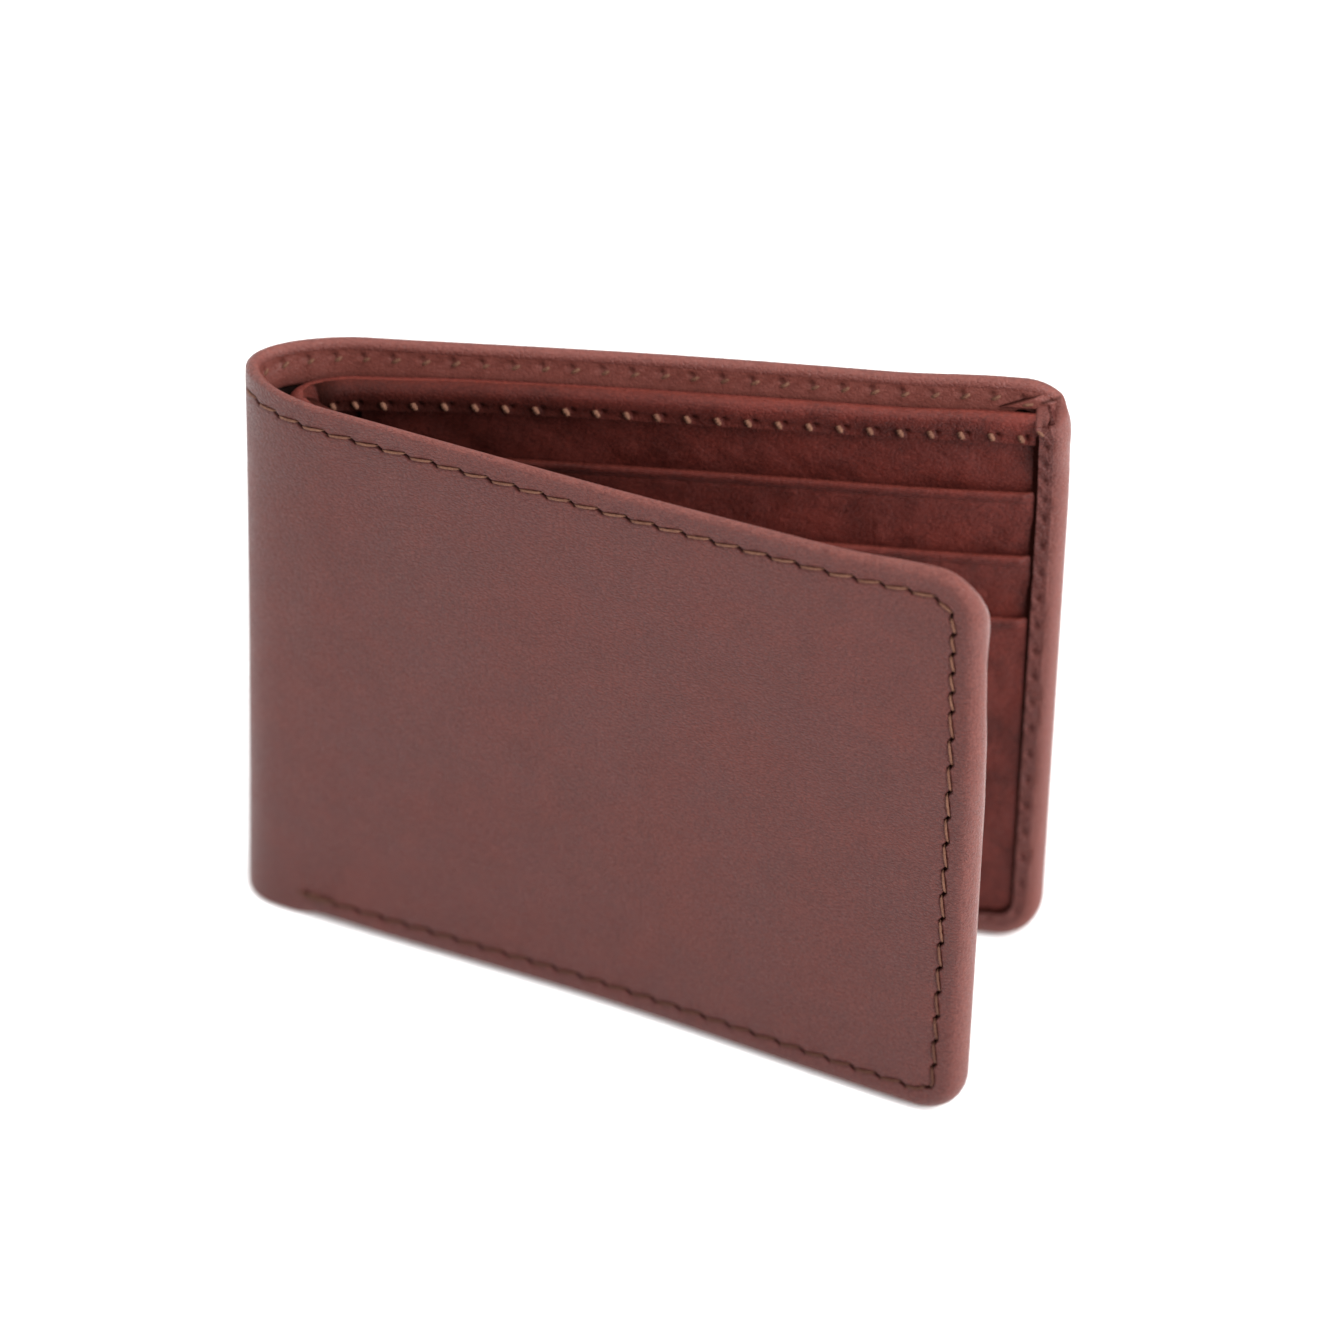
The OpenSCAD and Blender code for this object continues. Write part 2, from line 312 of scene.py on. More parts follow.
class EdgePath:
    """Runs from the middle plane along the top, down the free edge and back along the bottom.

    q is the distance along the stitch line; w is the distance inwards from the edge.
    """

    def __init__(self):
        self.top = LENGTH - TOP_CORNER - SHELL.middle
        self.arc1 = (TOP_CORNER - SEAM) * math.pi / 2
        self.side = HEIGHT - TOP_CORNER - LOW_CORNER
        self.arc2 = (LOW_CORNER - SEAM) * math.pi / 2
        self.low = LENGTH - LOW_CORNER - SHELL.middle
        self.marks = np.cumsum([0, self.top, self.arc1, self.side, self.arc2, self.low])
        self.length = self.marks[-1]

    def place(self, q, w):
        """(s, z) of a point."""
        q, w = np.broadcast_arrays(np.asarray(q, float), np.asarray(w, float))
        m = self.marks
        turn1 = np.clip((q - m[1]) / self.arc1, 0, 1) * math.pi / 2
        turn2 = np.clip((q - m[3]) / self.arc2, 0, 1) * math.pi / 2
        s = np.minimum(q, m[1]) + SHELL.middle
        s = s + (TOP_CORNER - w) * np.sin(turn1)
        s = s - (LOW_CORNER - w) * (1 - np.cos(turn2)) - np.maximum(q - m[4], 0)
        z = HEIGHT - TOP_CORNER + (TOP_CORNER - w) * np.cos(turn1)
        z = z - np.clip(q - m[2], 0, self.side) - (LOW_CORNER - w) * np.sin(turn2)
        return s, z

    def samples(self, holes):
        """Places along the path, closer together at the needle holes and round the upper corner."""
        side = np.array([0.13, 0.27, 0.4, 0.55, 0.75])
        near = np.concatenate([-side[::-1], [0], side])
        parts = [self.marks, (holes[:, None] + near).ravel()]
        for a, b in zip(holes[:-1], holes[1:]):
            parts.append(np.linspace(a + side[-1], b - side[-1], 6)[1:-1])
        parts.append(np.arange(holes[-1] + 1.3, self.length, 0.6))
        parts += [np.array([0, 0.4, 0.8]), np.arange(self.marks[1] - 1, self.marks[2] + 1, 0.15)]
        q = np.unique(np.round(np.clip(np.concatenate(parts), 0, self.length), 3))
        q = q[np.concatenate([[True], np.diff(q) > MIN_STEP])]
        q[-1] = self.length
        return q


# Samples closer together than this are merged
MIN_STEP = 0.05
PATH = EdgePath()


def seam_line(q):
    """Distance of the stitch line from the edge: a little less along the top."""
    return mix(TOP_SEAM, SEAM, smooth((q - PATH.marks[1] + 2) / 5))


def seam_holes():
    """Needle holes of the outer seam, as distances along the path."""
    m = PATH.marks
    runs = ((m[1] - 2, PITCH_TOP), (m[2] + CORNER_RUN, PITCH_CORNER), (m[3], PITCH_SIDE),
            (PATH.length, PITCH_BOTTOM))
    holes, q = [], PITCH_TOP / 2
    while q < PATH.length - (SEAM_END - SHELL.middle):
        holes.append(q)
        q += next(pitch for end, pitch in runs if q < end)
    return np.array(holes)


HOLES = seam_holes()

# A stitch seen from outside: thread leaning towards the edge, then a slit leaning back
LEAN, SLIT_HALF = 0.27, 0.42


def capsule(x, y, ax, ay, bx, by):
    """Distance of (x, y) from the segment a-b."""
    dx, dy = bx - ax, by - ay
    t = np.clip(((x - ax) * dx + (y - ay) * dy) / (dx * dx + dy * dy), 0, 1)
    return np.hypot(x - ax - t * dx, y - ay - t * dy)


def outside_relief(along, across, holes, slant):
    """(depth, painted shade) of a row of stitches on the outer face: the depth is pressed in, and the needle
    holes get painted shade.
    """
    painted_shade = np.zeros(np.broadcast(along, across).shape)
    k = np.searchsorted(holes, along)
    for j in (k - 1, k):
        h = holes[np.clip(j, 0, len(holes) - 1)]
        r = capsule(along, across, h - SLIT_HALF, -LEAN * slant, h + SLIT_HALF, LEAN * slant)
        painted_shade = np.maximum(painted_shade, smooth((0.36 - r) / 0.3))
    j = np.clip(k - 1, 0, len(holes) - 2)
    a, b = holes[j] + SLIT_HALF, holes[j + 1] - SLIT_HALF
    r = capsule(along, across, a, LEAN * slant, b, -LEAN * slant)
    bed = smooth((0.55 - r) / 0.5)
    inside = smooth((along - holes[0] + 0.8) / 0.3) * smooth((holes[-1] + 0.8 - along) / 0.3)
    wide = np.exp(-((across / 1.3) ** 2))
    return inside * (np.maximum(0.62 * painted_shade, 0.22 * bed) + 0.10 * wide), inside * smooth(painted_shade * 1.3)


def inside_relief(along, across, holes, step, away, size, depth=0, groove=0, width=0.9):
    """(depth, painted shade) on a side where the thread only shows as short loops across the row.

    step is the loop's own (along, across); away is where its dimple lies, darkened with painted shade, and
    size that dimple's size.
    """
    painted_shade = np.zeros(np.broadcast(along, across).shape)
    seat = painted_shade.copy()
    k = np.searchsorted(holes, along)
    for j in (k - 1, k):
        h = holes[np.clip(j, 0, len(holes) - 1)]
        dimple = ((along - h - away[0]) / size) ** 2 + ((across - away[1]) / size) ** 2
        painted_shade = np.maximum(painted_shade, np.exp(-dimple))
        r = capsule(along, across, h - step[0] / 2, -step[1] / 2, h + step[0] / 2, step[1] / 2)
        seat = np.maximum(seat, smooth((0.7 - r) / 0.6))
    inside = smooth((along - holes[0] + 1.2) / 0.5) * smooth((holes[-1] + 1.2 - along) / 0.5)
    wide = np.exp(-((across / width) ** 2))
    return inside * (depth * painted_shade + groove * wide - 0.10 * seat), inside * painted_shade


# ---- mesh making


class Builder:
    """Gathers vertices with their leather coordinates and marks, and makes one mesh object."""

    def __init__(self, side, bend):
        self.side, self.bend = side, bend
        self.rows, self.marks, self.faces, self.count = [], [], [], 0

    def add(self, s, d, z, edge=0, raw=0, painted_shade=0, turn=0):
        """Adds a grid of points and returns their numbers in the same shape."""
        arrays = np.broadcast_arrays(*(np.asarray(v, float) for v in (s, d, z, edge, raw, painted_shade, turn)))
        shape = arrays[0].shape
        flat = [a.ravel() for a in arrays]
        self.rows.append(np.stack(flat[:3], -1))
        self.marks.append(np.stack(flat[3:], -1))
        ids = np.arange(self.count, self.count + len(flat[0])).reshape(shape)
        self.count += len(flat[0])
        return ids

    def quads(self, ids):
        a, b, c, d = ids[:-1, :-1], ids[1:, :-1], ids[1:, 1:], ids[:-1, 1:]
        self.faces += np.stack([a, b, c, d], -1).reshape(-1, 4).tolist()

    def sheet(self, one, two):
        """Two grids of points, closed round their rims."""
        self.quads(one)
        self.quads(two[::-1])
        rims = [np.concatenate([g[:, 0], g[-1, 1:], g[::-1, -1][1:], g[0, ::-1][1:]]) for g in (one, two)]
        self.quads(np.stack(rims, -1))

    def bridge(self, a, b, pa, pb):
        """Triangles between two rows of points with different spacing."""
        i = j = 0
        while i < len(a) - 1 or j < len(b) - 1:
            if j == len(b) - 1 or (i < len(a) - 1 and pa[i + 1] <= pb[j + 1]):
                self.faces.append([a[i], a[i + 1], b[j]])
                i += 1
            else:
                self.faces.append([a[i], b[j + 1], b[j]])
                j += 1

    def make(self, what, slot):
        rows, marks = np.concatenate(self.rows), np.concatenate(self.marks)
        xyz = world(self.side, self.bend, rows[:, 0], rows[:, 1], rows[:, 2]) * MM
        obj = mesh_piece(what, self.side, xyz, [[int(i) for i in f] for f in self.faces], slot)
        way = -1 if self.side == FRONT else 1
        hide = (rows - [self.bend.middle, 0, 0]) * [way, 1, 1] + [0, piece_offset(what), 0]
        attribute(obj, "leather", hide)
        for i, mark in enumerate(("edge", "raw", "painted_shade", "turn")):
            attribute(obj, mark, marks[:, i])


def piece_offset(what):
    """A different part of the hide for each kind of piece."""
    return 30.0 * (sum(map(ord, what)) % 17)


# Edges that bend by more than this many degrees are shaded as sharp
SHARP_ANGLE = 62
# Pieces whose back half also stands for a node of the spine
SPINE_NODES = {"cover": "cover_spine", "bill_lining": "bill_lining_spine", "divider": "divider_fold",
               "seam_thread": "seam_thread_spine"}


def nodes_of(what, side):
    """The CAD nodes that a piece stands for. The folded corner is part of its cover's node."""
    nodes = [] if what == "corner_flap" else [f"{what}_{side}"]
    if side == BACK and what in SPINE_NODES:
        nodes.append(SPINE_NODES[what])
    return nodes


def mesh_piece(what, side, xyz, faces, slot):
    """Makes a piece that stands for its CAD nodes."""
    name = f"{side}_{what}"
    mesh = bpy.data.meshes.new(name)
    mesh.from_pydata(xyz.tolist(), [], faces)
    mesh.validate()
    work = bmesh.new()
    work.from_mesh(mesh)
    bmesh.ops.recalc_face_normals(work, faces=work.faces)
    work.to_mesh(mesh)
    work.free()
    mesh.polygons.foreach_set("use_smooth", [True] * len(mesh.polygons))
    mesh.set_sharp_from_angle(angle=math.radians(SHARP_ANGLE))
    mesh.materials.append(MATERIALS[slot])
    obj = bpy.data.objects.new(name, mesh)
    scene.collection.objects.link(obj)
    if nodes := nodes_of(what, side):
        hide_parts(*nodes)
    if side == BACK:
        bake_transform(obj)
    else:
        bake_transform(obj)
    return obj


def attribute(obj, name, values):
    values = np.asarray(values, np.float32)
    kind, key = ("FLOAT_VECTOR", "vector") if values.ndim == 2 else ("FLOAT", "value")
    obj.data.attributes.new(name, kind, "POINT").data.foreach_set(key, values.ravel())


def lines(*stops):
    """Grid lines through (position, step) stops: each step holds up to the next stop."""
    out = []
    for (a, step), (b, _) in zip(stops, stops[1:]):
        out.append(np.linspace(a, b, max(1, math.ceil((b - a) / step)), endpoint=False))
    return np.concatenate(out + [[stops[-1][0]]])


# ---- cover

# Width of the finely meshed border that carries the seam
BAND = 6.0
# The strip's cut edge is skived over this width
RAW_SLOPE = 0.8
# Loops on the inside and their dark dimples: along and across the row
HEM_LOOP, HEM_DIMPLE = (1.15, -0.85), (-0.75, -0.55)
# The loops sit this much nearer the edge than the seam itself
HEM_RISE = 0.75


def strip_width(q):
    """Width of the turned-over strip."""
    return mix(HEM_WIDTH, TURN_WIDTH, smooth((q - PATH.marks[1] + 3) / 3))


def fold_mark(s, z):
    """Shadowed crease where the side's turn-over rises from the folded corner."""
    past = z - strip_crease(s, 1.25)
    return 0.75 * np.exp(-((past / 0.3) ** 2)) * smooth((s - (LENGTH - TURN_WIDTH)) / 0.4)


def loop_rise(q):
    """How much nearer the edge the loops sit: only along the top hem."""
    return HEM_RISE * (1 - smooth((q - PATH.marks[1]) / PATH.arc1))


def cover(side):
    b = Builder(side, SHELL)
    slant = 1 if side == FRONT else -1
    q = PATH.samples(HOLES)[:, None]
    seam = seam_line(q)

    # outer face of the border, from inside to the roll: columns are closest together at the stitches
    rim = rim_depth(side, *PATH.place(q, 0.0))
    roll = np.minimum(rim / 2, 2.2)
    stops = np.array([BAND, 5.6, 5.2, 4.95, 4.75, 4.58, 4.44, 4.32, 4.21, 4.1, 4, 3.9, 3.79, 3.68, 3.56,
                      3.42, 3.25, 3.05, 2.8, 2.5])[None, :]
    w = stops + (seam - SEAM) * np.exp(-(((stops - SEAM) / 1.6) ** 4))
    s, z = PATH.place(q, w)
    dip, painted_shade = outside_relief(q + 0 * w, w - seam, HOLES, slant)
    near_roll = np.clip((2.4 - w) / 2.4, 0, 1) ** 2 * 0.05
    face = b.add(s, dip + near_roll, z, edge=smooth((2.2 - w) / 2.2) * 0.3, painted_shade=painted_shade)

    # the roll
    angles = np.linspace(0, math.pi, 15)[None, :]
    w = roll * (1 - np.sin(angles))
    d = rim / 2 * (1 - np.cos(angles)) + 0.02 * np.cos(angles / 2) ** 2
    s, z = PATH.place(q, w)
    # the roll's inner half gets part of the turned-over leather's painted sheen (turn)
    turned = b.add(s, d, z, edge=0.3 + 0.7 * np.sin(angles) + 0 * w,
                   painted_shade=fold_mark(s, z) * smooth((angles - 1.5) / 1.2), turn=0.5 * smooth(angles - 1.2))

    # inner face of the turned-over strip
    width = strip_width(q)
    w = mix(roll, width - RAW_SLOPE, np.linspace(0.05, 1, 24)[None, :])
    s, z = PATH.place(q, w)
    flat = rim_depth(side, s, z)
    d = mix(rim, flat, smooth((w - roll) / 1.2))
    dip, painted_shade = inside_relief(q + 0 * w, w - seam + loop_rise(q), HOLES, HEM_LOOP, HEM_DIMPLE,
                             depth=0.3, size=0.5, groove=0.1)
    soft = 0.05 * ripple(s, z, 4, 41) + 0.05 * ripple(s, z, 9, 42)
    painted_shade = np.maximum(0.2 * painted_shade, fold_mark(s, z))
    # turn: painted sheen of the turned-over strip, nearly all of it along the top hem
    turn = 0.08 + 0.92 * loop_rise(q) / HEM_RISE
    inner = b.add(s, d - dip + soft, z, edge=smooth((2.6 - w) / 2.6) * 0.6, painted_shade=painted_shade, turn=turn)

    # raw edge of the strip and the hidden way back under it
    at_edge = rim_depth(side, *PATH.place(q, width))
    s, z = PATH.place(q, width - RAW_SLOPE * np.array([[0.93, 0.6, 0.3, 0.0]]))
    raw = b.add(s, at_edge - np.array([[0.04, 0.3, 0.5, TURN + 0.1]]), z, raw=1, edge=0)
    s, z = PATH.place(q, np.array([[2.2, 1.55, 1.5, 3.0, BAND]]) + 0 * q)
    under = rim_depth(side, *PATH.place(q, 2.2)) - TURN
    d = np.concatenate([under, under - 0.02] + 3 * [COVER + 0 * under], 1)
    hidden = b.add(s, d, z)
    ring = np.concatenate([face, turned[:, 1:], inner, raw, hidden], 1)
    b.quads(ring)

    # the wide field inside the border, on the outer and inner face
    corners = [0, PATH.marks[1] + PATH.arc1 / 2, PATH.marks[3] + PATH.arc2 / 2, PATH.length]
    progress = np.interp(q[:, 0], corners, [0, 1, 2, 3])
    columns = []
    for ids, depth, step in ((ring[:, 0], 0.0, 1.1), (ring[:, -1], COVER, 3.0)):
        us = lines((SHELL.middle, 0.6), (8, step), (LENGTH - BAND - 0.8, step))
        vs = lines((BAND + 0.7, step), (HEIGHT - BAND - 0.7, step))
        grid = b.add(us[:, None], depth, vs[None, :])
        b.quads(grid)
        border = np.concatenate([grid[:, -1], grid[-1, ::-1][1:], grid[::-1, 0][1:]])
        su = (us - us[0]) / (us[-1] - us[0])
        sv = (vs - vs[0]) / (vs[-1] - vs[0])
        b.bridge(ids, border, progress, np.concatenate([su, 1 + sv[1:], 2 + (1 - su[::-1])[1:]]))
        columns.append(grid[0])
    # the cut on the middle plane
    outer_column, inner_column = columns
    b.faces.append(np.concatenate([ring[0], inner_column[::-1], ring[-1][::-1], outer_column]).tolist())
    b.make("cover", "cover_leather")


# Thickness of the folded corner
FLAP = 0.55


def flap_thickness(s, z):
    """Height of the folded corner above the hem it lies on."""
    return FLAP * smooth((s - flap_edge(z)) / 0.3) * smooth((z - ROLL_TOP + 0.2) / 0.3)


def corner_flap(side):
    """The leather of the side turn-over, folded across the end of the top hem."""
    b = Builder(side, SHELL)
    u, v = np.meshgrid(np.linspace(0, 1, 30), np.linspace(0, 1, 26), indexing="ij")
    low_left, low_right = (flap_edge(84.0), 84.0), (LENGTH - TURN_WIDTH + 0.2, 84.2)
    q = PATH.marks[1] + PATH.arc1 * mix(0.27, 0.52, u)
    top_s, top_z = PATH.place(q, 0.9)
    s = mix(mix(low_left[0], low_right[0], u), top_s, v)
    z = mix(mix(low_left[1], low_right[1], u), top_z, v)
    # the whole flap lies at the level of the hem
    base = rim_depth(side, s, HEIGHT + 0 * z)
    lift = FLAP * (1 - smooth((v - 0.72) / 0.28)) * (0.6 + 0.4 * smooth(v / 0.15))
    lift = lift * (1 - 0.5 * smooth((u - 0.85) / 0.15)) + 0.05 * ripple(s, z, 4, 51)
    round_edge = np.sqrt(np.clip(1 - (1 - np.clip(u / 0.04, 0, 1)) ** 2, 0, 1))
    raw = np.clip(1 - u / 0.05, 0, 1)
    # turn: painted sheen of the folded corner
    top = b.add(s, base + lift * (0.25 + 0.75 * round_edge), z, edge=0.5 * (1 - round_edge) + 0.3 * v,
                raw=raw, painted_shade=fold_mark(s, z), turn=0.9)
    bottom = b.add(s, base - 0.25, z, raw=raw)
    b.sheet(top, bottom)
    b.make("corner_flap", "cover_leather")


# ---- flat sewn pieces


def free_edge(z):
    """Where the inner pieces stop, inside the cover's rounded outline."""
    radius = CORNER - INNER_INSET
    over = np.maximum(np.abs(z - HEIGHT / 2) - (HEIGHT / 2 - CORNER), 0)
    return LENGTH - CORNER + np.sqrt(np.maximum(radius**2 - np.minimum(over, radius) ** 2, 0))


# The grid's lines are squeezed over this length to follow the rounded free corners
CORNER_SQUEEZE = 12


def slab(what, side, bend, us, vs, outer, inner, slot="inner_leather", rounded=(), marks=None):
    """A closed sheet between two depth functions over a grid. Rounded sides are half-round edges."""
    b = Builder(side, bend)
    u, v = np.meshgrid(us, vs, indexing="ij")
    hold = us[-1] - CORNER_SQUEEZE
    reach = np.minimum(free_edge(v), us[-1]) - hold
    s = np.where(u > hold, hold + (u - hold) * reach / CORNER_SQUEEZE, u)
    back, front = outer(s, v), inner(s, v)
    middle, half = (back + front) / 2, (front - back) / 2
    share = np.ones_like(half)
    for edge, distance in (("top", vs[-1] - v), ("inner", u - us[0])):
        if edge in rounded:
            x = np.clip(distance / np.maximum(np.minimum(half, 1.5), 1e-6), 0, 1)
            share = share * np.sqrt(1 - (1 - x) ** 2)
    edge_mark = np.clip(1 - share, 0, 1) ** 0.5
    extra = marks(s, v) if marks else {}
    one = b.add(s, middle - half * share, v, edge=edge_mark)
    two = b.add(s, middle + half * share, v, edge=edge_mark, **extra)
    b.sheet(one, two)
    b.make(what, slot)


def rounded_lines(low, high, step, radius, low_round=False, high_round=True, extra=()):
    """Grid lines with close ones inside a half-round edge."""
    near = radius * (1 - np.cos(np.linspace(0, math.pi / 2, 8)))
    a = low + near if low_round else np.array([low])
    z = high - near[::-1] if high_round else np.array([high])
    return np.unique(np.round(np.concatenate([a, lines((a[-1], step), (z[0], step)), z, extra]), 4))


def level(depth):
    """Depth function of a sheet's face that follows the cover."""
    return lambda s, z: depth + 0 * s


def lining(side):
    us = lines((SHELL.middle, 0.6), (8, 2.5), (LENGTH - INNER_INSET, 2.5))
    vs = lines((INNER_INSET, 2.5), (HEIGHT - INNER_INSET, 2.5))
    slab("bill_lining", side, SHELL, us, vs, *map(level, LINING_FACES), slot="lining_fabric")


def stiffener(side):
    us = lines((1.0, 2.5), (LENGTH - INNER_INSET, 2.5))
    vs = lines((INNER_INSET, 3), (HEIGHT - INNER_INSET, 3))
    slab("stiffener", side, SHELL, us, vs, *map(level, BOARD_FACES), slot="board")


DIVIDER_HOLES = np.arange(FOLD.middle + 2.1, LENGTH - TURN_WIDTH - 1.0, DIVIDER_PITCH)
# A loop and its dark dimple: along and across the row
DIVIDER_LOOP, DIVIDER_DIMPLE = (0.5, -0.95), (0.75, 0.3)
# The turned strip stands straight across the inside of the divider's fold: its place and greatest thickness
FOLD_CHORD, FOLD_THICKEST = 1.8, 4.7
# Distance of the fold's inner crease from the middle plane
FOLD_CREASE = 2.9


def roll_thickness(s, z):
    """Thickness of the divider's turned-over mouth, which stands away from the divider inside the fold."""
    c = np.clip(s, FOLD.s[0], FOLD.s[-1])
    px, py, tx, ty = (np.interp(c, FOLD.s, a) for a in (*FOLD.points.T, *FOLD.tangents.T))
    facing = BISECTOR[0] * ty - BISECTOR[1] * tx
    reach = FOLD_CHORD - (BISECTOR[0] * px + BISECTOR[1] * py)
    chord = np.where(facing > 0.15, reach / np.maximum(facing, 0.15), 0)
    down = np.clip((ROLL_TOP - z) / DIVIDER_TURN, 0, 1)
    plain = DIVIDER_ROLL * mix(1.36, 0.97, np.clip(s / LENGTH, 0, 1)) * (1 + 0.03 * np.sin(s / 7.0))
    return np.maximum(plain, mix(plain, np.clip(chord, 0, FOLD_THICKEST), smooth(down / 0.75)))


def fold_crease(s):
    """(groove, shade) of the sharp crease where the two halves of the divider's mouth meet."""
    past = s - FOLD.middle - FOLD_CREASE
    shade = 0.96 * smooth(past / 0.5) * np.exp(-((np.maximum(past, 0) / 8.0) ** 2))
    return 0.5 * np.exp(-((past / 0.4) ** 2)), shade


def inner_shade(s, z):
    """Painted shade: the inside darkens towards the fold."""
    return {"painted_shade": 0.56 * (1 - smooth((s - 8) / 76)) + 0 * z}


def divider(side):
    def inner(s, z):
        step = smooth((z - (ROLL_TOP - DIVIDER_TURN)) / 0.22)
        dip, _ = inside_relief(s, z - DIVIDER_SEAM_Z, DIVIDER_HOLES, DIVIDER_LOOP, DIVIDER_DIMPLE,
                               depth=0.45, size=0.4, groove=0.2, width=0.8)
        return stack_back(s, z) + mix(DIVIDER, roll_thickness(s, z), step) - (dip + fold_crease(s)[0]) * step

    def marks(s, z):
        _, painted_shade = inside_relief(s, z - DIVIDER_SEAM_Z, DIVIDER_HOLES, DIVIDER_LOOP, DIVIDER_DIMPLE, size=0.36)
        raw = np.exp(-(((z - (ROLL_TOP - DIVIDER_TURN) - 0.08) / 0.16) ** 2))
        # painted shade on the divider's mouth just below its seam
        low = 0.22 * smooth((DIVIDER_SEAM_Z + 1.6 - z) / 1.6)
        shade = np.maximum(low + inner_shade(s, z)["painted_shade"], fold_crease(s)[1])
        return {"painted_shade": np.maximum(0.6 * painted_shade, shade), "raw": raw * 0.6}

    us = lines((FOLD.middle, 0.25), (LENGTH - TURN_WIDTH, 0.25), (LENGTH - INNER_INSET, 0.8))
    step_z = ROLL_TOP - DIVIDER_TURN
    vs = np.concatenate([
        lines((INNER_INSET, 2.5), (step_z - 1.5, 0.5), (step_z - 0.15, 0.06), (step_z + 0.3, 0.15),
              (DIVIDER_SEAM_Z + 1.0, 0.15))[:-1],
        rounded_lines(DIVIDER_SEAM_Z + 1.0, ROLL_TOP, 0.25, DIVIDER_ROLL / 2)])
    slab("divider", side, FOLD, us, vs, stack_back, inner, rounded=("top",), marks=marks)


def strip_end(s):
    """Fades to nothing where the turned-over strip holds the layers down."""
    return 1 - smooth((s - (LENGTH - TURN_WIDTH - 1.0)) / 1.3)


def creases(s, z, seed):
    """Soft creasing of thin leather."""
    waves = ((0.04, 3.2), (0.07, 7), (0.05, 16))
    return sum(size * ripple(s, z, length, seed + i) for i, (size, length) in enumerate(waves))


def pocket_panel(side):
    us = lines((POCKET_START, 0.7), (LENGTH - INNER_INSET, 0.7))
    under_roll = ROLL_TOP - DIVIDER_TURN + 0.5
    vs = lines((INNER_INSET, 3), (SLOTS[0] - 2, 0.5), (under_roll, 0.5), (ROLL_TOP - 1.6, 1))
    slab("pocket_panel", side, FOLD, us, vs, lambda s, z: panel_face(s, z) - PANEL,
         lambda s, z: panel_face(s, z) + creases(s, z, 11), marks=inner_shade)


# A slot stands open by this much in its middle; layers that only touch are kept this far apart
SLOT_GAP, CLEAR = 0.6, 0.05


def card_pocket(side, n, label):
    top = SLOTS[n]
    low = INNER_INSET if label == POCKETS[-1] else top - POCKET_HEIGHT

    def outer(s, z):
        ends = smooth((s - POCKET_START) / 9) * (1 - 0.5 * smooth((s - LENGTH + 15) / 9)) * strip_end(s)
        gap = SLOT_GAP * smooth((z - top + 6) / 6) * ends
        return panel_face(s, z) + n * POCKET + gap + CLEAR

    def inner(s, z):
        below = top - z
        lip = (LIP - POCKET) * np.exp(-((below / 1.35) ** 4)) - 0.10 * np.exp(-(((below - 1.9) / 0.3) ** 2))
        return outer(s, z) + POCKET + (lip + creases(s, z, 21 + 5 * n) * smooth(below / 3)) * strip_end(s)

    us = rounded_lines(POCKET_START, LENGTH - INNER_INSET, 0.6, 0.3, low_round=True, high_round=False)
    vs = rounded_lines(low, top, 0.6, LIP / 2, extra=np.arange(top - 3.2, top - 0.5, 0.15))
    slab(f"card_pocket_{label}", side, FOLD, us, vs, outer, inner,
         rounded=("top", "inner"), marks=inner_shade)


def pocket_slip(side, n, label):
    def outer(s, z):
        return panel_face(s, z) + n * POCKET + 2 * CLEAR

    us = lines((POCKET_START + 0.5, 3), (LENGTH - INNER_INSET, 3))
    vs = lines((INNER_INSET, 3), (SLOTS[n] - POCKET_HEIGHT, 3))
    slab(f"pocket_slip_{label}", side, FOLD, us, vs, outer, lambda s, z: outer(s, z) + SLIP,
         slot="lining_fabric")


# ---- threads

# Points along and round a stitch; its plies turn once in a length of TWIST
RINGS, SIDES, PLIES, TWIST = 15, 10, 3, 1.0


def thread_tubes(what, side, rows):
    """One mesh of stitches.

    Each row is (place, stitches, top, dive, radius). place(along, across, lift) gives points in millimetres.
    A stitch is its two ends (along, across). It stands top high in its middle and dips by dive at its ends.
    """
    verts, faces, count = [], [], 0
    tau = np.linspace(0, 1, RINGS)
    turn = np.linspace(0, 2 * math.pi, SIDES, endpoint=False)[None, :]
    for place, stitches, top, dive, radius in rows:
        for (a0, c0), (a1, c1) in stitches:
            along, across = mix(a0, a1, tau), mix(c0, c1, tau)
            lift = mix(-dive, top, np.clip(np.sin(math.pi * tau), 0, 1) ** 0.5)
            mid = place(along, across, lift)
            up = place(along, across, lift + 0.1) - mid
            run = np.gradient(mid, axis=0)
            run /= np.linalg.norm(run, axis=1)[:, None]
            up -= run * np.sum(up * run, 1)[:, None]
            up /= np.linalg.norm(up, axis=1)[:, None]
            cross = np.cross(run, up)
            twist = (tau * math.hypot(a1 - a0, c1 - c0) * 2 * math.pi / TWIST)[:, None]
            r = radius * (1 + 0.15 * np.cos(PLIES * (turn - twist)))
            r = r * np.clip(np.sin(math.pi * np.clip(tau, 0.02, 0.98)) * 3, 0.45, 1)[:, None]
            ringed = mid[:, None] + up[:, None] * (r * np.cos(turn))[..., None] \
                + cross[:, None] * (r * np.sin(turn))[..., None]
            verts.append(ringed.reshape(-1, 3))
            ids = np.arange(count, count + RINGS * SIDES).reshape(RINGS, SIDES)
            wrap = np.concatenate([ids, ids[:, :1]], 1)
            quad = np.stack([wrap[:-1, :-1], wrap[1:, :-1], wrap[1:, 1:], wrap[:-1, 1:]], -1)
            faces += quad.reshape(-1, 4).tolist()
            faces += [ids[0].tolist(), ids[-1][::-1].tolist()]
            count += RINGS * SIDES
    mesh_piece(what, side, np.concatenate(verts) * MM, faces, "thread")


def long_stitches(holes, slant, inset=0.3):
    return [((a + inset, LEAN * slant), (b - inset, -LEAN * slant)) for a, b in zip(holes[:-1], holes[1:])]


def loops(holes, step):
    return [((h - step[0] / 2, -step[1] / 2), (h + step[0] / 2, step[1] / 2)) for h in holes]


